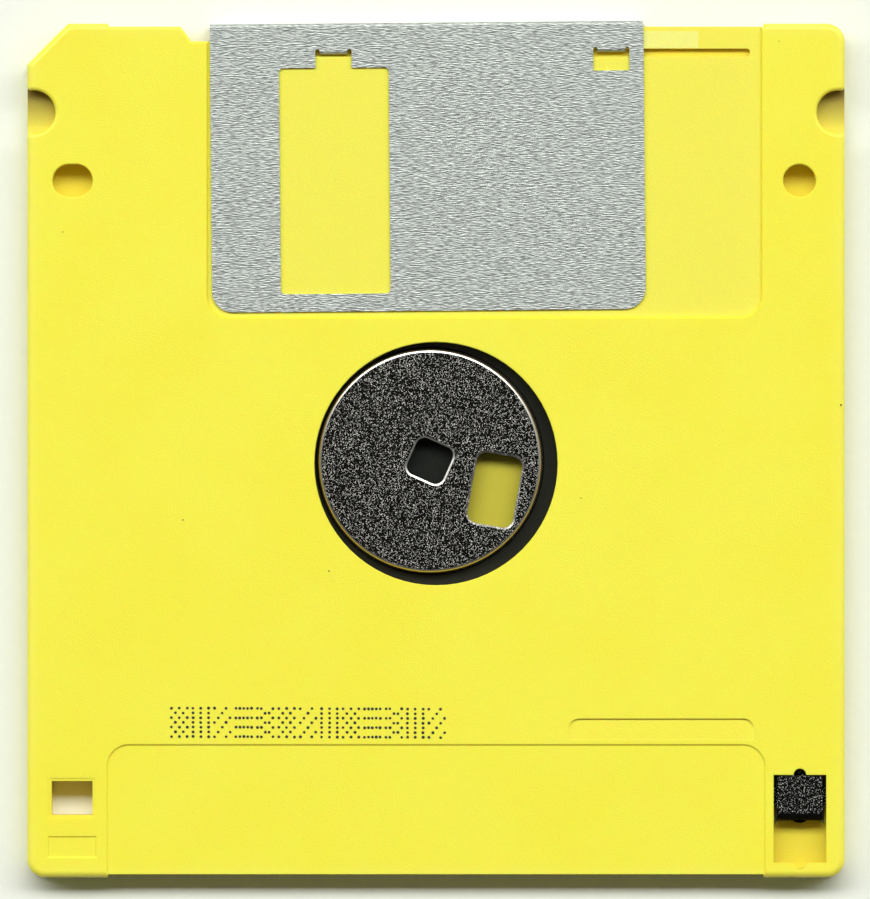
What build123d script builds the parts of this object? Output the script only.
from build123d import *
from math import asin, atan2, cos, degrees, hypot, radians, sin, sqrt
import os

# A 3.5-inch floppy disk, lying on its label side with the metal hub facing up.
# +X points to the write-protect side, +Y to the shutter edge and +Z out of the hub side.
# The origin is the middle of the underside. All sizes are in millimetres.
os.makedirs("parts", exist_ok=True)

# Disk film and the chamber that it turns in
FILM_DIAMETER = 85.8
FILM_THICKNESS = 0.08
CHAMBER_PLAY = 0.8        # room all round the film
CHAMBER_RIB = 0.8         # arc ribs that close the chamber towards the corners
DISK_SHIFT_X = -0.66      # the loose disk lies a little off the middle of its hole
DISK_SHIFT_Y = 0.3

# Case
CASE_THICKNESS = 3.3
WALL = 0.95               # floor of each shell
SIDE_WALL = 1.3           # between the chamber and the long sides
BACK_WALL = 1.51          # between the chamber and the back edge
FRONT_BAY = 4.41          # between the chamber and the shutter edge
INNER_WALL = 1.2          # outer wall round the corner pockets
CORNER_RADIUS = 2.0
CORNER_CUT = 4.5          # the one cut-off corner, which stops a disk going in upside down
EDGE_RADIUS = 0.7         # of the long sides and the corners
END_EDGE_BREAK = 0.25     # of the set-back middle of the short edges
END_STEP = 0.34           # the middle of both short edges stands back from the corners
END_LAND = 8.9            # width of each corner that stands proud
BOSS_WALL = 0.8

# Holes and notches of the case
HUB_HOLE_BREAK = 0.06
PIN_LINE_FROM_FRONT = 17.3
PIN_FROM_SIDE = 5.0
PIN_DIAMETER = 3.6
PIN_SLOT_LENGTH = 4.4
PIN_MOUTH_BREAK = 0.1
HEAD_WINDOW_WIDTH = 9.0
HEAD_WINDOW_LENGTH = 23.8
HEAD_WINDOW_FROM_FRONT = 5.0
HEAD_WINDOW_RADIUS = 0.5
GRIP_FROM_FRONT = 9.75    # handling notch in each long side
GRIP_WIDTH = 4.8
GRIP_DEPTH = 3.1
GRIP_MOUTH_RADIUS = 0.4
LEVER_NOTCH_FROM_CENTRE = 21.8
LEVER_NOTCH_WIDTH = 12.6  # at the edge, for the lever that pushes the shutter
LEVER_NOTCH_DEPTH = 1.62
LEVER_NOTCH_RAMP = 1.15
SENSOR_HOLE_INSET = 4.95  # middle of the two sensor holes from the long sides
DENSITY_HOLE_WIDTH = 4.5
DENSITY_HOLE_LENGTH = 3.75
DENSITY_HOLE_FROM_BACK = 8.75
DENSITY_FRAME_WIDTH = 0.3 # sunken frame round the density hole
DENSITY_FRAME_DEPTH = 0.08

# Shallow recesses in the outer faces, with sloping sides
RECESS_SLOPE = 45.0       # degrees from upright
LABEL_RECESS_DEPTH = 0.2
LABEL_RECESS_WIDTH = 72.2
LABEL_RECESS_ON_HUB_SIDE = 14.5
LABEL_RECESS_ON_LABEL_SIDE = 54.0
LABEL_RECESS_RADIUS = 2.3
FINGER_GROOVE_X = 24.8
FINGER_GROOVE_WIDTH = 20.4
FINGER_GROOVE_LENGTH = 2.4
FINGER_GROOVE_DEPTH = 0.25
FINGER_GROOVE_RADIUS = 1.15
FINGER_GROOVE_FROM_LABEL = 0.6
MARK_RECESS_WIDTH = 5.1
MARK_RECESS_LENGTH = 2.1
MARK_RECESS_DEPTH = 0.15
MARK_RECESS_FROM_BACK = 3.36
ARROW_SIZE = 4.0
ARROW_FROM_FRONT = 24.0
ARROW_DEPTH = 0.15

# Weld pins of the label side and their sockets in the hub side
WELD_PIN_WIDTH = 1.5
WELD_PIN_HEIGHT = 0.55
WELD_PIN_CLEARANCE = 0.05
WELD_PIN_INSET = 3.2

# Shutter and the recess that it slides in
SHEET = 0.2
SHUTTER_GAP = 0.05        # between the sheet and the floor of its recess
SHUTTER_FRONT_GAP = 0.24  # between the fold and the front of the case
SHUTTER_BELOW_FACE = 0.1
SHUTTER_SKEW = 0.5        # degrees that the loose shutter is turned in its recess
SHUTTER_LEFT = 24.75      # left edge from the middle of the case
SHUTTER_WIDTH = 47.7
SHUTTER_COVER = 2.81      # how far the shutter reaches past the head window
SHUTTER_TRAVEL = 12.5
SHUTTER_RADIUS = 2.3
SHUTTER_BEND = 0.35       # outside radius of the two folds
SHUTTER_END_PLAY = 0.3    # recess beyond the closed shutter
SHUTTER_BACK_PLAY = 0.64  # recess behind the shutter's back end
SHUTTER_OPEN_PLAY = 0.27  # recess beyond the open shutter
SHUTTER_RECESS_SLOPE = 30.0   # degrees from upright, on the hub side
SHUTTER_WINDOW_WIDTH = 12.1
SHUTTER_WINDOW_FROM_FOLD = 4.88
SHUTTER_WINDOW_FROM_LEFT = 7.55
SHUTTER_WINDOW_FROM_EDGE = 1.94
SHUTTER_WINDOW_RADIUS = 0.5
TAB_WIDTH = 3.5
TAB_DEPTH = 0.45          # that the bent tabs reach into the groove
TAB_BEND = 0.35           # outside radius of their bend
TAB_OPENING_WIDTH = 4.0
TAB_OPENING_LENGTH = 2.4
TAB_RELIEF = 0.22
LEFT_TAB_FROM_LEFT = 13.57
RIGHT_TAB_FROM_RIGHT = 3.55
GROOVE_FROM_FRONT = 3.2
GROOVE_WIDTH = 0.88
GROOVE_DEPTH = 0.58       # below the floor of the shutter recess
GROOVE_END_PLAY = 0.89
GROOVE_END_RADIUS = 0.3
GUIDE_RAIL_WIDTH = 1.6
GUIDE_RAIL_DEPTH = 0.6

# Spring hook of the shutter, and the torsion spring
HOOK_FROM_RIGHT = 2.4
HOOK_LENGTH = 2.4
HOOK_HEIGHT = 0.5
HOOK_PLAY = 0.4
WIRE = 0.35
WIRE_SIDES = 8            # flats round the wire, which keep the coil's faces simple
COIL_RADIUS = 1.7
COIL_PITCH = 0.37
COIL_TURNS = 2
COIL_FROM_FRONT = 9.4
ANCHOR_FROM_SIDE = 7.9
ANCHOR_DIAMETER = 1.2
LEG_END = 0.5             # past the anchor post, and short of the hook's tip

# Hub, adhesive ring, liners, lifter and wear pad
HUB_DIAMETER = 24.9       # of the cup at its flange
HUB_TAPER = 0.175         # the cup narrows by this all round towards its face
HUB_HOLE_CLEARANCE = 0.94 # between the hub and the rim of its hole in the case
HUB_BELOW_FACE = 0.55
HUB_SHEET = 0.25
HUB_FLANGE_WIDTH = 2.3
HUB_EDGE_RADIUS = 0.3     # of the drawn edge, whose rounding is made of flats
HUB_EDGE_FLATS = 3
PRESSED_EDGE_WIDTH = 0.2  # flat slopes round the two holes in the hub's face
PRESSED_EDGE_DEPTH = 0.065
SPINDLE_HOLE = 4.35
SPINDLE_HOLE_RADIUS = 1.0
SPINDLE_HOLE_TURN = -24.0
DRIVE_SLOT_WIDTH = 5.1
DRIVE_SLOT_LENGTH = 7.9
DRIVE_SLOT_RADIUS = 1.1
DRIVE_SLOT_FROM_RIM = 4.63    # middle of the slot from the widest part of the cup
DRIVE_SLOT_BEARING = -24.1
DRIVE_SLOT_TURN = -10.0
FILM_HOLE_CLEARANCE = 0.15
ADHESIVE_THICKNESS = 0.05
ADHESIVE_MARGIN = 0.15
LINER_THICKNESS = 0.3
LINER_HOLE_CLEARANCE = 1.75   # between the hub's flange and the liner
LINER_MARGIN = 0.4        # between the liner's rim and the chamber wall
LINER_WINDOW_MARGIN = 1.0
RUNNING_GAP = 0.05        # between things that slide or turn over each other
LIFTER_FROM_WALL = 4.7
LIFTER_LENGTH = 19.0
LIFTER_ARC = 34.0
LIFTER_THICKNESS = 0.12
LIFTER_PLAY = 0.2
WEAR_PAD_DIAMETER = 8.0
WEAR_PAD_THICKNESS = 0.12

# Write-protect slider and its opening
PROTECT_OPENING_WIDTH = 5.8
PROTECT_OPENING_LENGTH = 9.65
PROTECT_OPENING_FROM_BACK = 1.65
PROTECT_NOTCH_RADIUS = 0.7
PROTECT_POCKET_MARGIN = 0.6
PROTECT_POCKET_WALL = 0.6
SLIDER_WIDTH = 4.97
SLIDER_LENGTH = 4.85
SLIDER_TRAVEL = 4.5
SLIDER_END_PLAY = 0.12
SLIDER_BELOW_FACE = 0.1
SLIDER_EAR_WIDTH = 5.4
SLIDER_FLANGE_WIDTH = 6.5
SLIDER_FLANGE_LENGTH = 2.3
SLIDER_FLANGE_FROM_TOP = 1.05
SLIDER_EAR_BELOW_FACE = 0.7
SLIDER_ROUNDING = 0.7     # of the face's back edge
SLIDER_NOSE_RADIUS = 0.62 # at the front end
SLIDER_TAIL_RADIUS = 1.2  # at the back end
SLIDER_TAIL_REACH = 0.35
SENSOR_SLIT_WIDTH = 5.45  # hole in the label side under the slider
SENSOR_SLIT_LENGTH = 4.95
SENSOR_SLIT_RADIUS = 0.7

# Case, worked out from the chamber outwards
chamber_radius = FILM_DIAMETER / 2 + CHAMBER_PLAY
case_width = 2 * (chamber_radius + SIDE_WALL)
case_length = 2 * (chamber_radius + END_STEP) + BACK_WALL + FRONT_BAY
side_x = case_width / 2
front_y = case_length / 2
back_y = -case_length / 2
front_face_y = front_y - END_STEP
end_recess_width = case_width - 2 * END_LAND
hub_y = back_y + END_STEP + BACK_WALL + chamber_radius
pin_line_y = front_y - PIN_LINE_FROM_FRONT
hub_hole_radius = HUB_DIAMETER / 2 + HUB_HOLE_CLEARANCE
liner_hole_radius = HUB_DIAMETER / 2 + HUB_FLANGE_WIDTH + LINER_HOLE_CLEARANCE
lifter_outer_radius = chamber_radius - LIFTER_FROM_WALL
lifter_inner_radius = lifter_outer_radius - LIFTER_LENGTH
disk_x = DISK_SHIFT_X
disk_y = hub_y + DISK_SHIFT_Y

# Heights
parting_z = CASE_THICKNESS / 2
floor_z = WALL
roof_z = CASE_THICKNESS - WALL
film_z = floor_z + RUNNING_GAP + max(LINER_THICKNESS, HUB_SHEET + ADHESIVE_THICKNESS)
flange_z = film_z - ADHESIVE_THICKNESS - HUB_SHEET
hub_face_z = CASE_THICKNESS - HUB_BELOW_FACE

# Shutter places
recess_depth = SHUTTER_BELOW_FACE + SHEET + SHUTTER_GAP
recess_floor_z = CASE_THICKNESS - recess_depth
shutter_left_x = -SHUTTER_LEFT
shutter_right_x = shutter_left_x + SHUTTER_WIDTH
shutter_front_y = front_face_y + SHUTTER_FRONT_GAP + SHEET
shutter_back_y = front_y - HEAD_WINDOW_FROM_FRONT - HEAD_WINDOW_LENGTH - SHUTTER_COVER
shutter_length = shutter_front_y - shutter_back_y
recess_left_x = shutter_left_x - SHUTTER_END_PLAY
recess_right_x = shutter_right_x + SHUTTER_TRAVEL + SHUTTER_OPEN_PLAY
recess_back_y = shutter_back_y - SHUTTER_BACK_PLAY
groove_y = front_y - GROOVE_FROM_FRONT
tab_y = groove_y + TAB_BEND - SHEET / 2
left_tab_x = shutter_left_x + LEFT_TAB_FROM_LEFT
right_tab_x = shutter_right_x - RIGHT_TAB_FROM_RIGHT
hook_x = shutter_right_x - HOOK_FROM_RIGHT
hook_z = floor_z + RUNNING_GAP
hook_y = front_face_y - HOOK_LENGTH

# Sensor holes and slider
density_x = -side_x + SENSOR_HOLE_INSET
density_y = back_y + DENSITY_HOLE_FROM_BACK
protect_x = side_x - SENSOR_HOLE_INSET
opening_back_y = back_y + PROTECT_OPENING_FROM_BACK
opening_y = opening_back_y + PROTECT_OPENING_LENGTH / 2
opening_front_y = opening_back_y + PROTECT_OPENING_LENGTH
slider_top_y = opening_front_y - SLIDER_END_PLAY
slider_y = slider_top_y - SLIDER_LENGTH / 2
slider_back_y = slider_top_y - SLIDER_LENGTH
slider_face_z = CASE_THICKNESS - SLIDER_BELOW_FACE
slider_base_z = floor_z + RUNNING_GAP

pin_places = [(-side_x + PIN_FROM_SIDE, pin_line_y), (side_x - PIN_FROM_SIDE, pin_line_y)]
weld_places = [
    (side_x - WELD_PIN_INSET, front_y - WELD_PIN_INSET),
    (-side_x + WELD_PIN_INSET + CORNER_CUT, front_y - WELD_PIN_INSET),
    (-side_x + WELD_PIN_INSET, back_y + WELD_PIN_INSET),
    (side_x - END_LAND - WELD_PIN_INSET, back_y + WELD_PIN_INSET),
]

# Plan of the case: one cut corner, three round ones, and the notch for the shutter lever
with BuildSketch() as body_plan:
    Rectangle(case_width, case_length)
    cut_corner = body_plan.vertices().group_by(Axis.X)[0].sort_by(Axis.Y)[-1]
    chamfer(cut_corner, CORNER_CUT)
    right_corners = body_plan.vertices().group_by(Axis.X)[-1]
    left_back_corner = body_plan.vertices().group_by(Axis.X)[0].sort_by(Axis.Y)[0]
    fillet(right_corners + [left_back_corner], CORNER_RADIUS)

# What the two short edges lose: the set-back middle and the lever notch
with BuildSketch() as edge_cuts:
    with Locations((0, front_y), (0, back_y)):
        Rectangle(end_recess_width, 2 * END_STEP)
    with Locations((-LEVER_NOTCH_FROM_CENTRE, front_face_y)):
        Trapezoid(
            LEVER_NOTCH_WIDTH + 2 * LEVER_NOTCH_RAMP,
            2 * LEVER_NOTCH_DEPTH,
            90 - degrees(atan2(LEVER_NOTCH_RAMP, LEVER_NOTCH_DEPTH)),
            rotation=180,
        )


def grip_plan(margin):
    """D-shaped handling notch in both long sides, grown by a margin."""
    radius = GRIP_WIDTH / 2 + margin
    straight = GRIP_DEPTH - GRIP_WIDTH / 2
    for side in (-1, 1):
        with Locations((side * side_x, front_y - GRIP_FROM_FRONT)):
            Rectangle(2 * straight, 2 * radius)
        with Locations((side * (side_x - straight), front_y - GRIP_FROM_FRONT)):
            Circle(radius)


def pin_plan(margin):
    """Round hole on the right and the slot on the left, grown by a margin."""
    with Locations(pin_places[0]):
        SlotOverall(PIN_SLOT_LENGTH + 2 * margin, PIN_DIAMETER + 2 * margin)
    with Locations(pin_places[1]):
        Circle(PIN_DIAMETER / 2 + margin)


def pocket_plan(margin):
    """Pocket that the write-protect slider runs in, grown by a margin."""
    with Locations((protect_x, opening_y)):
        Rectangle(
            PROTECT_OPENING_WIDTH + 2 * (PROTECT_POCKET_MARGIN + margin),
            PROTECT_OPENING_LENGTH + 2 * (PROTECT_POCKET_MARGIN + margin),
        )


def chamber_plan(margin):
    """Round chamber of the disk, grown by a margin."""
    with Locations((0, hub_y)):
        Circle(chamber_radius + margin)


# Everything that stays solid between the floor of a shell and the parting plane
with BuildSketch() as posts_plan:
    grip_plan(BOSS_WALL)
    pin_plan(BOSS_WALL)
    with Locations((density_x, density_y)):
        Rectangle(DENSITY_HOLE_WIDTH + 2 * BOSS_WALL, DENSITY_HOLE_LENGTH + 2 * BOSS_WALL)
    with Locations(*weld_places):
        Rectangle(WELD_PIN_WIDTH + 2 * BOSS_WALL, WELD_PIN_WIDTH + 2 * BOSS_WALL)
    pocket_plan(PROTECT_POCKET_WALL)

# What is hollowed out of each shell
with BuildSketch() as cavity_plan:
    add(body_plan.sketch)
    add(edge_cuts.sketch, mode=Mode.SUBTRACT)
    offset(amount=-INNER_WALL, kind=Kind.INTERSECTION, mode=Mode.REPLACE)
    add(posts_plan.sketch, mode=Mode.SUBTRACT)
    chamber_disc = Sketch() + Pos(0, hub_y) * Circle(chamber_radius + CHAMBER_RIB, mode=Mode.PRIVATE)
    add(chamber_disc, mode=Mode.SUBTRACT)
    chamber_plan(0)

# Head window, the same in both shells
with BuildSketch() as head_window:
    with Locations((0, front_y - HEAD_WINDOW_FROM_FRONT - HEAD_WINDOW_LENGTH / 2)):
        RectangleRounded(HEAD_WINDOW_WIDTH, HEAD_WINDOW_LENGTH, HEAD_WINDOW_RADIUS)

# Recess for the shutter, the same in both shells and open at the front
with BuildSketch() as shutter_recess:
    with Locations(((recess_left_x + recess_right_x) / 2, (recess_back_y + front_y) / 2)):
        Rectangle(recess_right_x - recess_left_x, front_y - recess_back_y)
    fillet(shutter_recess.vertices().group_by(Axis.Y)[0], SHUTTER_RADIUS)


def label_recess(length):
    """Recess for a label that wraps round the back edge."""
    with BuildSketch(mode=Mode.PRIVATE) as plan:
        with Locations((0, back_y + length / 2)):
            Rectangle(LABEL_RECESS_WIDTH, length)
        fillet(plan.vertices().group_by(Axis.Y)[-1], LABEL_RECESS_RADIUS)
    return plan.sketch


def mouth_edges(shell, x, y, reach):
    """Edges round a hole in the outer face of the hub side."""
    outer_face = shell.faces().sort_by(Axis.Z)[-1]
    middle = Vector(x, y, CASE_THICKNESS)
    return outer_face.edges().filter_by(
        lambda edge: (edge.center(CenterOf.BOUNDING_BOX) - middle).length < reach
    )


# Label-side shell
with BuildPart() as label_side_shell:
    with BuildSketch():
        add(body_plan.sketch)
    extrude(amount=parting_z)
    fillet(label_side_shell.faces().sort_by(Axis.Z)[0].edges(), EDGE_RADIUS)
    with BuildSketch():
        add(edge_cuts.sketch)
    extrude(amount=parting_z, mode=Mode.SUBTRACT)
    with BuildSketch(Plane.XY.offset(END_EDGE_BREAK)):
        add(edge_cuts.sketch)
    extrude(amount=-END_EDGE_BREAK, taper=-RECESS_SLOPE, mode=Mode.SUBTRACT)
    with BuildSketch(Plane.XY.offset(floor_z)):
        add(cavity_plan.sketch)
        pocket_plan(0)
    extrude(amount=parting_z - floor_z, mode=Mode.SUBTRACT)
    with BuildSketch(Plane.XY.offset(floor_z)):
        pin_plan(0)
    extrude(amount=parting_z - floor_z, mode=Mode.SUBTRACT)
    with BuildSketch():
        add(head_window.sketch)
        with Locations((density_x, density_y)):
            Rectangle(DENSITY_HOLE_WIDTH, DENSITY_HOLE_LENGTH)
    extrude(amount=parting_z, mode=Mode.SUBTRACT)
    with BuildSketch() as sensor_slit:
        with Locations((protect_x, slider_top_y - SENSOR_SLIT_LENGTH / 2 - SENSOR_SLIT_RADIUS / 2)):
            Rectangle(SENSOR_SLIT_WIDTH, SENSOR_SLIT_LENGTH + SENSOR_SLIT_RADIUS)
        tongue_y = slider_top_y - SENSOR_SLIT_LENGTH - PROTECT_OPENING_WIDTH / 2
        with Locations((protect_x, tongue_y)):
            RectangleRounded(
                SENSOR_SLIT_WIDTH + RUNNING_GAP,
                PROTECT_OPENING_WIDTH,
                SENSOR_SLIT_RADIUS,
                mode=Mode.SUBTRACT,
            )
    extrude(amount=floor_z, mode=Mode.SUBTRACT)
    # Outside: recesses for the shutter and the label, and the arrow that shows which way in
    with BuildSketch():
        add(shutter_recess.sketch)
    extrude(amount=recess_depth, mode=Mode.SUBTRACT)
    with BuildSketch(Plane.XY.offset(LABEL_RECESS_DEPTH)):
        add(label_recess(LABEL_RECESS_ON_LABEL_SIDE))
    extrude(amount=-LABEL_RECESS_DEPTH, taper=-RECESS_SLOPE, mode=Mode.SUBTRACT)
    with BuildSketch():
        with Locations((side_x - END_LAND / 2, front_y - ARROW_FROM_FRONT)):
            RegularPolygon(ARROW_SIZE / 2, 3, rotation=90)
    extrude(amount=ARROW_DEPTH, mode=Mode.SUBTRACT)
    # Inside: seat of the lifter, weld pins, post that anchors the spring, slot for the spring hook
    with BuildSketch(Plane.XY.offset(floor_z - LIFTER_THICKNESS)) as lifter_seat:
        with BuildLine():
            inner = lifter_inner_radius - LIFTER_PLAY
            outer = lifter_outer_radius + LIFTER_PLAY
            seat_arc = LIFTER_ARC + degrees(LIFTER_PLAY / lifter_inner_radius) * 2
            inside = CenterArc((0, hub_y), inner, -seat_arc / 2, seat_arc)
            outside = CenterArc((0, hub_y), outer, -seat_arc / 2, seat_arc)
            Line(inside @ 0, outside @ 0)
            Line(inside @ 1, outside @ 1)
        make_face()
    extrude(amount=LIFTER_THICKNESS, mode=Mode.SUBTRACT)
    with Locations(*[(x, y, parting_z) for x, y in weld_places]):
        Box(
            WELD_PIN_WIDTH,
            WELD_PIN_WIDTH,
            WELD_PIN_HEIGHT,
            align=(Align.CENTER, Align.CENTER, Align.MIN),
        )
    anchor_x = side_x - ANCHOR_FROM_SIDE
    anchor_y = front_face_y - INNER_WALL - ANCHOR_DIAMETER
    with Locations((anchor_x, anchor_y, floor_z)):
        Cylinder(ANCHOR_DIAMETER / 2, parting_z - floor_z, align=(Align.CENTER, Align.CENTER, Align.MIN))
    hook_slot_start = hook_x - HOOK_PLAY
    hook_slot_length = SHUTTER_TRAVEL + SHEET + WIRE + 2 * HOOK_PLAY
    with Locations((hook_slot_start, front_face_y - INNER_WALL, floor_z)):
        Box(
            hook_slot_length,
            INNER_WALL,
            parting_z - floor_z,
            align=(Align.MIN, Align.MIN, Align.MIN),
            mode=Mode.SUBTRACT,
        )
label_side_shell.part.label = "label_side_shell"

# Hub-side shell
with BuildPart() as hub_side_shell:
    with BuildSketch(Plane.XY.offset(parting_z)):
        add(body_plan.sketch)
    extrude(amount=CASE_THICKNESS - parting_z)
    fillet(hub_side_shell.faces().sort_by(Axis.Z)[-1].edges(), EDGE_RADIUS)
    with BuildSketch(Plane.XY.offset(parting_z)):
        add(edge_cuts.sketch)
    extrude(amount=CASE_THICKNESS - parting_z, mode=Mode.SUBTRACT)
    with BuildSketch(Plane.XY.offset(CASE_THICKNESS - END_EDGE_BREAK)):
        add(edge_cuts.sketch)
    extrude(amount=END_EDGE_BREAK, taper=-RECESS_SLOPE, mode=Mode.SUBTRACT)
    with BuildSketch(Plane.XY.offset(parting_z)):
        add(cavity_plan.sketch)
        pocket_plan(0)
    extrude(amount=roof_z - parting_z, mode=Mode.SUBTRACT)
    # Rail under the guide groove, and the low ring inside the liner round the hub hole
    rail_end_x = recess_right_x
    rail_start_x = left_tab_x - TAB_WIDTH
    with Locations((rail_start_x, groove_y, roof_z - GUIDE_RAIL_DEPTH)):
        Box(
            rail_end_x - rail_start_x,
            GUIDE_RAIL_WIDTH,
            GUIDE_RAIL_DEPTH,
            align=(Align.MIN, Align.CENTER, Align.MIN),
        )
    with BuildSketch(Plane.XY.offset(roof_z - LINER_THICKNESS)):
        with Locations((0, hub_y)):
            Circle(hub_hole_radius + BOSS_WALL)
    extrude(amount=LINER_THICKNESS)
    # Holes right through
    with BuildSketch(Plane.XY.offset(parting_z)):
        add(head_window.sketch)
        with Locations((0, hub_y)):
            Circle(hub_hole_radius)
        with Locations((density_x, density_y)):
            Rectangle(DENSITY_HOLE_WIDTH, DENSITY_HOLE_LENGTH)
        grip_plan(0)
        pin_plan(0)
        with Locations((protect_x, opening_y)):
            Rectangle(PROTECT_OPENING_WIDTH, PROTECT_OPENING_LENGTH)
        with Locations((protect_x, opening_front_y), (protect_x, opening_back_y)):
            Circle(PROTECT_NOTCH_RADIUS)
    extrude(amount=CASE_THICKNESS - parting_z, mode=Mode.SUBTRACT)
    with BuildSketch(Plane.XY.offset(parting_z)):
        with Locations(*weld_places):
            socket_width = WELD_PIN_WIDTH + 2 * WELD_PIN_CLEARANCE
            Rectangle(socket_width, socket_width)
    extrude(amount=roof_z - parting_z, mode=Mode.SUBTRACT)
    for x, y in pin_places:
        chamfer(mouth_edges(hub_side_shell, x, y, PIN_SLOT_LENGTH / 2), PIN_MOUTH_BREAK)
    chamfer(mouth_edges(hub_side_shell, 0, hub_y, hub_hole_radius), HUB_HOLE_BREAK)
    for side in (-1, 1):
        grip_y = front_y - GRIP_FROM_FRONT
        fillet(mouth_edges(hub_side_shell, side * side_x, grip_y, GRIP_DEPTH), GRIP_MOUTH_RADIUS)
    # Outside: shutter recess with its guide groove, label recess, finger groove, mark recess
    with BuildSketch(Plane.XY.offset(recess_floor_z)):
        add(shutter_recess.sketch)
    extrude(amount=recess_depth, taper=-SHUTTER_RECESS_SLOPE, mode=Mode.SUBTRACT)
    groove_start = left_tab_x - TAB_WIDTH / 2 - GROOVE_END_PLAY
    groove_end = right_tab_x + TAB_WIDTH / 2 + SHUTTER_TRAVEL + GROOVE_END_PLAY
    with BuildSketch(Plane.XY.offset(recess_floor_z - GROOVE_DEPTH)):
        with Locations(((groove_start + groove_end) / 2, groove_y)):
            RectangleRounded(groove_end - groove_start, GROOVE_WIDTH, GROOVE_END_RADIUS)
    extrude(amount=GROOVE_DEPTH, mode=Mode.SUBTRACT)
    with BuildSketch(Plane.XY.offset(CASE_THICKNESS - LABEL_RECESS_DEPTH)):
        add(label_recess(LABEL_RECESS_ON_HUB_SIDE))
    extrude(amount=LABEL_RECESS_DEPTH, taper=-RECESS_SLOPE, mode=Mode.SUBTRACT)
    with BuildSketch(Plane.XY.offset(CASE_THICKNESS - MARK_RECESS_DEPTH)):
        with Locations((density_x, back_y + MARK_RECESS_FROM_BACK)):
            Rectangle(MARK_RECESS_WIDTH, MARK_RECESS_LENGTH)
    extrude(amount=MARK_RECESS_DEPTH, taper=-RECESS_SLOPE, mode=Mode.SUBTRACT)
    with BuildSketch(Plane.XY.offset(CASE_THICKNESS - DENSITY_FRAME_DEPTH)):
        with Locations((density_x, density_y)):
            Rectangle(
                DENSITY_HOLE_WIDTH + 2 * DENSITY_FRAME_WIDTH,
                DENSITY_HOLE_LENGTH + 2 * DENSITY_FRAME_WIDTH,
            )
    extrude(amount=DENSITY_FRAME_DEPTH, mode=Mode.SUBTRACT)
    groove_low_y = back_y + LABEL_RECESS_ON_HUB_SIDE + FINGER_GROOVE_FROM_LABEL
    groove_high_y = groove_low_y + FINGER_GROOVE_LENGTH
    with BuildPart(mode=Mode.PRIVATE) as finger_wedge:
        with BuildSketch(Plane.YZ.offset(FINGER_GROOVE_X - FINGER_GROOVE_WIDTH / 2)):
            with BuildLine():
                Polyline(
                    (groove_low_y, CASE_THICKNESS),
                    (groove_high_y, CASE_THICKNESS),
                    (groove_high_y, CASE_THICKNESS - FINGER_GROOVE_DEPTH),
                    close=True,
                )
            make_face()
        extrude(amount=FINGER_GROOVE_WIDTH)
        with BuildSketch(Plane.XY.offset(CASE_THICKNESS - FINGER_GROOVE_DEPTH)) as wedge_plan:
            with Locations((FINGER_GROOVE_X, (groove_low_y + groove_high_y) / 2)):
                Rectangle(FINGER_GROOVE_WIDTH, FINGER_GROOVE_LENGTH)
            fillet(wedge_plan.vertices().group_by(Axis.Y)[-1], FINGER_GROOVE_RADIUS)
        extrude(amount=FINGER_GROOVE_DEPTH, mode=Mode.INTERSECT)
    add(finger_wedge.part, mode=Mode.SUBTRACT)
hub_side_shell.part.label = "hub_side_shell"


def liner(base_z):
    """Fleece liner: a disc with a middle hole, slit open along the head window."""
    with BuildPart() as piece:
        with BuildSketch(Plane.XY.offset(base_z)):
            with Locations((0, hub_y)):
                Circle(chamber_radius - LINER_MARGIN)
                Circle(liner_hole_radius, mode=Mode.SUBTRACT)
            with Locations((0, hub_y)):
                Rectangle(
                    HEAD_WINDOW_WIDTH + 2 * LINER_WINDOW_MARGIN,
                    2 * chamber_radius,
                    align=(Align.CENTER, Align.MIN),
                    mode=Mode.SUBTRACT,
                )
        extrude(amount=LINER_THICKNESS)
    return piece.part


label_side_liner = liner(floor_z)
label_side_liner.label = "label_side_liner"
hub_side_liner = liner(roof_z - LINER_THICKNESS)
hub_side_liner.label = "hub_side_liner"

# Lifter: a thin plastic leaf in its seat under the label-side liner
with BuildPart() as liner_lifter:
    with BuildSketch(Plane.XY.offset(floor_z - LIFTER_THICKNESS)):
        with BuildLine():
            inside = CenterArc((0, hub_y), lifter_inner_radius, -LIFTER_ARC / 2, LIFTER_ARC)
            outside = CenterArc((0, hub_y), lifter_outer_radius, -LIFTER_ARC / 2, LIFTER_ARC)
            Line(inside @ 0, outside @ 0)
            Line(inside @ 1, outside @ 1)
        make_face()
    extrude(amount=LIFTER_THICKNESS)
liner_lifter.part.label = "liner_lifter"

# Wear pad under the middle of the hub
with BuildPart() as hub_wear_pad:
    with BuildSketch(Plane.XY.offset(floor_z)):
        with Locations((0, hub_y)):
            Circle(WEAR_PAD_DIAMETER / 2)
    extrude(amount=WEAR_PAD_THICKNESS)
hub_wear_pad.part.label = "hub_wear_pad"

# Magnetic film
with BuildPart() as magnetic_disk:
    with BuildSketch(Plane.XY.offset(film_z)):
        with Locations((disk_x, disk_y)):
            Circle(FILM_DIAMETER / 2)
            Circle(HUB_DIAMETER / 2 + FILM_HOLE_CLEARANCE, mode=Mode.SUBTRACT)
    extrude(amount=FILM_THICKNESS)
magnetic_disk.part.label = "magnetic_disk"

# Adhesive ring between the film and the flange of the hub
with BuildPart() as hub_adhesive_ring:
    with BuildSketch(Plane.XY.offset(film_z - ADHESIVE_THICKNESS)):
        with Locations((disk_x, disk_y)):
            Circle(HUB_DIAMETER / 2 + HUB_FLANGE_WIDTH - ADHESIVE_MARGIN)
            Circle(HUB_DIAMETER / 2 + FILM_HOLE_CLEARANCE, mode=Mode.SUBTRACT)
    extrude(amount=ADHESIVE_THICKNESS)
hub_adhesive_ring.part.label = "hub_adhesive_ring"

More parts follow.
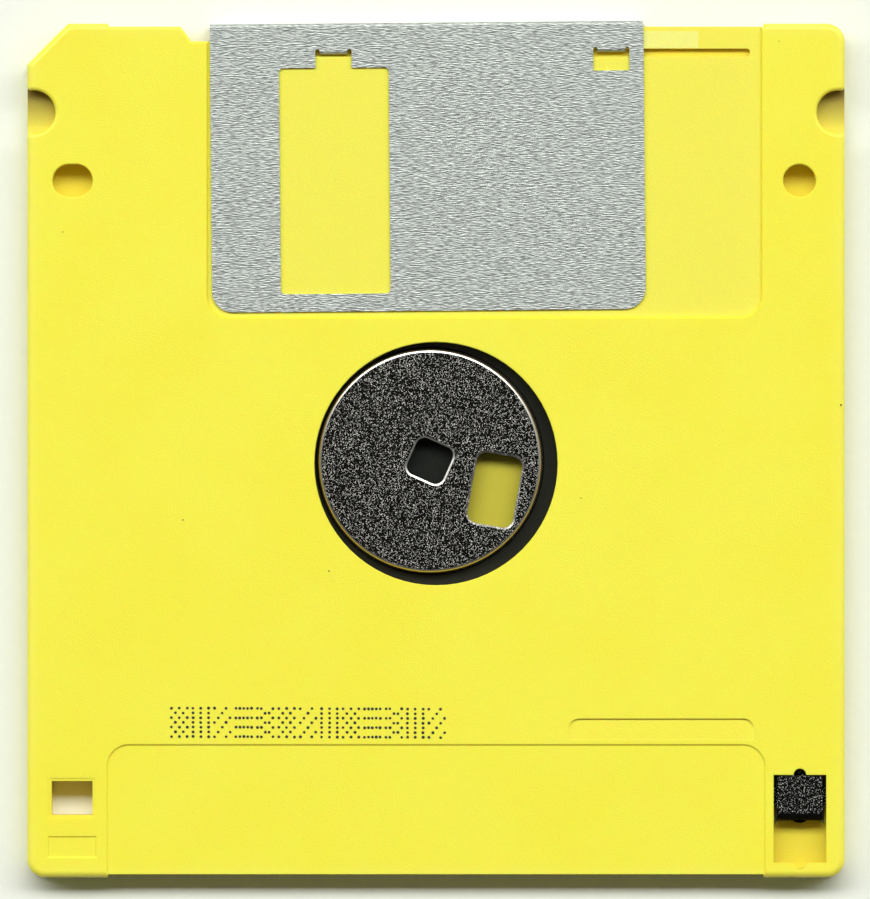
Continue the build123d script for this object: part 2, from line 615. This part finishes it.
# Hub: a cup drawn from sheet metal, with a flange, the spindle hole and the drive slot
with BuildPart() as hub:
    with BuildSketch(Plane.XZ):
        base_radius = HUB_DIAMETER / 2
        face_radius = base_radius - HUB_TAPER
        drawn_edge = []
        for step in range(HUB_EDGE_FLATS + 1):
            turn = radians(90 * step / HUB_EDGE_FLATS)
            edge_radius = face_radius - HUB_EDGE_RADIUS * (1 - sin(turn))
            edge_z = hub_face_z - HUB_EDGE_RADIUS * (1 - cos(turn))
            drawn_edge.append((edge_radius, edge_z))
        with BuildLine():
            Polyline(
                (0, hub_face_z),
                *drawn_edge,
                (base_radius, flange_z + HUB_SHEET),
                (base_radius + HUB_FLANGE_WIDTH, flange_z + HUB_SHEET),
                (base_radius + HUB_FLANGE_WIDTH, flange_z),
                (base_radius - HUB_SHEET, flange_z),
                (face_radius - HUB_SHEET, hub_face_z - HUB_SHEET),
                (0, hub_face_z - HUB_SHEET),
                close=True,
            )
        make_face()
    revolve(axis=Axis.Z)
    with BuildSketch(Plane.XY.offset(hub_face_z - HUB_SHEET)):
        RectangleRounded(SPINDLE_HOLE, SPINDLE_HOLE, SPINDLE_HOLE_RADIUS, rotation=SPINDLE_HOLE_TURN)
        bearing = radians(DRIVE_SLOT_BEARING)
        slot_reach = base_radius - DRIVE_SLOT_FROM_RIM
        with Locations((slot_reach * cos(bearing), slot_reach * sin(bearing))):
            RectangleRounded(
                DRIVE_SLOT_WIDTH, DRIVE_SLOT_LENGTH, DRIVE_SLOT_RADIUS, rotation=DRIVE_SLOT_TURN
            )
    extrude(amount=HUB_SHEET, mode=Mode.SUBTRACT)
    hub_face = hub.faces().sort_by(Axis.Z)[-1]
    hole_edges = [edge for wire in hub_face.inner_wires() for edge in wire.edges()]
    chamfer(hole_edges, PRESSED_EDGE_WIDTH, PRESSED_EDGE_DEPTH, reference=hub_face)
hub_part = Pos(disk_x, disk_y, 0) * hub.part
hub_part.label = "hub"

# Shutter: one sheet folded over the front edge
with BuildPart() as shutter:
    with BuildSketch(Plane.YZ.offset(shutter_left_x)) as sleeve:
        bottom_z = SHUTTER_BELOW_FACE
        top_z = CASE_THICKNESS - SHUTTER_BELOW_FACE
        with Locations((shutter_front_y, (bottom_z + top_z) / 2)):
            Rectangle(shutter_length, top_z - bottom_z, align=(Align.MAX, Align.CENTER))
        fillet(sleeve.vertices().group_by(Axis.X)[-1], SHUTTER_BEND)
        with BuildSketch(mode=Mode.PRIVATE) as inside_space:
            with Locations((shutter_front_y - SHEET, (bottom_z + top_z) / 2)):
                Rectangle(shutter_length, top_z - bottom_z - 2 * SHEET, align=(Align.MAX, Align.CENTER))
            fillet(inside_space.vertices().group_by(Axis.X)[-1], SHUTTER_BEND - SHEET)
        add(inside_space.sketch, mode=Mode.SUBTRACT)
    extrude(amount=SHUTTER_WIDTH)
    plate_corners = shutter.edges().filter_by(Axis.Z).group_by(Axis.Y)[0]
    fillet(plate_corners, SHUTTER_RADIUS)
    window_x = shutter_left_x + SHUTTER_WINDOW_FROM_LEFT + SHUTTER_WINDOW_WIDTH / 2
    window_length = shutter_length - SHUTTER_WINDOW_FROM_EDGE - SHUTTER_WINDOW_FROM_FOLD
    window_y = shutter_back_y + SHUTTER_WINDOW_FROM_EDGE + window_length / 2
    with BuildSketch():
        with Locations((window_x, window_y)):
            RectangleRounded(SHUTTER_WINDOW_WIDTH, window_length, SHUTTER_WINDOW_RADIUS)
    extrude(amount=CASE_THICKNESS, mode=Mode.SUBTRACT)
    # Openings that the two guide tabs are bent out of, with relief notches at their roots
    with BuildSketch(Plane.XY.offset(top_z - SHEET)):
        for tab_x in (left_tab_x, right_tab_x):
            with Locations((tab_x, tab_y)):
                Rectangle(TAB_OPENING_WIDTH, TAB_OPENING_LENGTH, align=(Align.CENTER, Align.MAX))
            with Locations((tab_x - TAB_WIDTH / 2, tab_y), (tab_x + TAB_WIDTH / 2, tab_y)):
                Circle(TAB_RELIEF)
    extrude(amount=SHEET, mode=Mode.SUBTRACT)
    # The tabs, bent down into the guide groove
    tab_span = TAB_WIDTH - 2 * TAB_RELIEF
    for tab_x in (left_tab_x, right_tab_x):
        with BuildSketch(Plane.YZ.offset(tab_x - tab_span / 2)):
            with BuildLine():
                FilletPolyline(
                    (tab_y + SHEET, top_z - SHEET / 2),
                    (groove_y, top_z - SHEET / 2),
                    (groove_y, recess_floor_z - TAB_DEPTH),
                    radius=TAB_BEND - SHEET / 2,
                )
            trace(line_width=SHEET)
        extrude(amount=tab_span)
    # Hook for the spring, cut and bent inwards from the front strip
    with Locations((hook_x, shutter_front_y, hook_z)):
        Box(
            HOOK_LENGTH,
            SHEET,
            HOOK_HEIGHT,
            align=(Align.MAX, Align.MAX, Align.MIN),
            mode=Mode.SUBTRACT,
        )
        Box(
            SHEET,
            shutter_front_y - hook_y,
            HOOK_HEIGHT,
            align=(Align.MIN, Align.MAX, Align.MIN),
        )
shutter_middle = ((shutter_left_x + shutter_right_x) / 2, (shutter_front_y + shutter_back_y) / 2)
shutter_part = Rot(0, 0, SHUTTER_SKEW) * Pos(-shutter_middle[0], -shutter_middle[1]) * shutter.part
shutter_part = Pos(*shutter_middle) * shutter_part
shutter_part.label = "shutter"


def leg_run(target, offset, side):
    """Bearing and length of a straight leg that leaves the coil and passes the target at an offset."""
    dx = target[0] - coil_centre[0]
    dy = target[1] - coil_centre[1]
    reach = hypot(dx, dy)
    bearing = degrees(atan2(dy, dx)) + side * degrees(asin((COIL_RADIUS + offset) / reach))
    return bearing, sqrt(reach**2 - (COIL_RADIUS + offset) ** 2)


# Torsion spring: one leg against the post in the corner, the other against the shutter's hook
coil_centre = ((hook_x + anchor_x) / 2, front_y - COIL_FROM_FRONT)
hook_touch = (hook_x + SHEET + WIRE / 2 + RUNNING_GAP, hook_y + LEG_END)
post_offset = (ANCHOR_DIAMETER + WIRE) / 2 + RUNNING_GAP
post_bearing, post_run = leg_run((anchor_x, anchor_y), post_offset, 1)
hook_bearing, hook_run = leg_run(hook_touch, 0, -1)
start_angle = post_bearing - 90
end_angle = hook_bearing + 90
coil_sweep = 360 * COIL_TURNS + (start_angle - end_angle) % 360
coil_height = COIL_PITCH * coil_sweep / 360
coil_base_z = floor_z + RUNNING_GAP + WIRE / 2
leg_end_z = hook_z + HOOK_HEIGHT / 2


def leg_ends(angle, height, bearing, run):
    """Where a leg leaves the coil and where it ends."""
    root_x = coil_centre[0] + COIL_RADIUS * cos(radians(angle))
    root_y = coil_centre[1] + COIL_RADIUS * sin(radians(angle))
    end_x = root_x + run * cos(radians(bearing))
    end_y = root_y + run * sin(radians(bearing))
    return Vector(root_x, root_y, height), Vector(end_x, end_y, leg_end_z)


with BuildPart() as shutter_spring:
    coil_plane = Plane(
        origin=(*coil_centre, coil_base_z),
        x_dir=(cos(radians(start_angle)), sin(radians(start_angle)), 0),
    )
    with BuildLine(coil_plane) as coil_line:
        Helix(COIL_PITCH, coil_height, COIL_RADIUS, lefthand=True)
    with BuildSketch(Plane(origin=coil_line.line @ 0, z_dir=coil_line.line % 0)):
        RegularPolygon(WIRE / 2, WIRE_SIDES)
    sweep(path=coil_line.line, is_frenet=True)
    # Each leg starts a little inside the coil, so that the two join
    post_leg = leg_ends(start_angle, coil_base_z, post_bearing, post_run + LEG_END)
    hook_leg = leg_ends(end_angle, coil_base_z + coil_height, hook_bearing, hook_run)
    for root, end in (post_leg, hook_leg):
        along = (end - root).normalized()
        with BuildSketch(Plane(origin=root - along * WIRE / 2, z_dir=along)):
            RegularPolygon(WIRE / 2, WIRE_SIDES)
        extrude(amount=(end - root).length + WIRE / 2)
shutter_spring.part.label = "shutter_spring"

# Write-protect slider: a grained block on a base whose flange runs under the case wall
with BuildPart() as write_protect_slider:
    base_top_z = roof_z - RUNNING_GAP
    flange_y = slider_top_y - SLIDER_FLANGE_FROM_TOP - SLIDER_FLANGE_LENGTH / 2
    with BuildSketch(Plane.XY.offset(slider_base_z)):
        with Locations((protect_x, slider_y)):
            Rectangle(SLIDER_WIDTH, SLIDER_LENGTH)
    extrude(amount=slider_face_z - slider_base_z)
    with BuildSketch(Plane.XY.offset(slider_base_z)):
        with Locations((protect_x, flange_y)):
            Rectangle(SLIDER_FLANGE_WIDTH, SLIDER_FLANGE_LENGTH)
        with Locations((protect_x, slider_top_y)):
            Circle(SLIDER_NOSE_RADIUS)
        with Locations((protect_x, slider_back_y - SLIDER_TAIL_REACH + SLIDER_TAIL_RADIUS)):
            Circle(SLIDER_TAIL_RADIUS)
    extrude(amount=base_top_z - slider_base_z)
    with BuildSketch(Plane.XY.offset(base_top_z)):
        with Locations((protect_x, flange_y)):
            Rectangle(SLIDER_EAR_WIDTH, SLIDER_FLANGE_LENGTH)
    extrude(amount=slider_face_z - SLIDER_EAR_BELOW_FACE - base_top_z)
    low_edge = write_protect_slider.faces().sort_by(Axis.Z)[-1].edges().sort_by(Axis.Y)[0]
    fillet(low_edge, SLIDER_ROUNDING)
write_protect_slider.part.label = "write_protect_slider"

pieces = [
    label_side_shell.part,
    hub_side_shell.part,
    label_side_liner,
    hub_side_liner,
    liner_lifter.part,
    hub_wear_pad.part,
    magnetic_disk.part,
    hub_part,
    hub_adhesive_ring.part,
    shutter_part,
    shutter_spring.part,
    write_protect_slider.part,
]
for piece in pieces:
    export_step(piece, f"parts/{piece.label}.step")
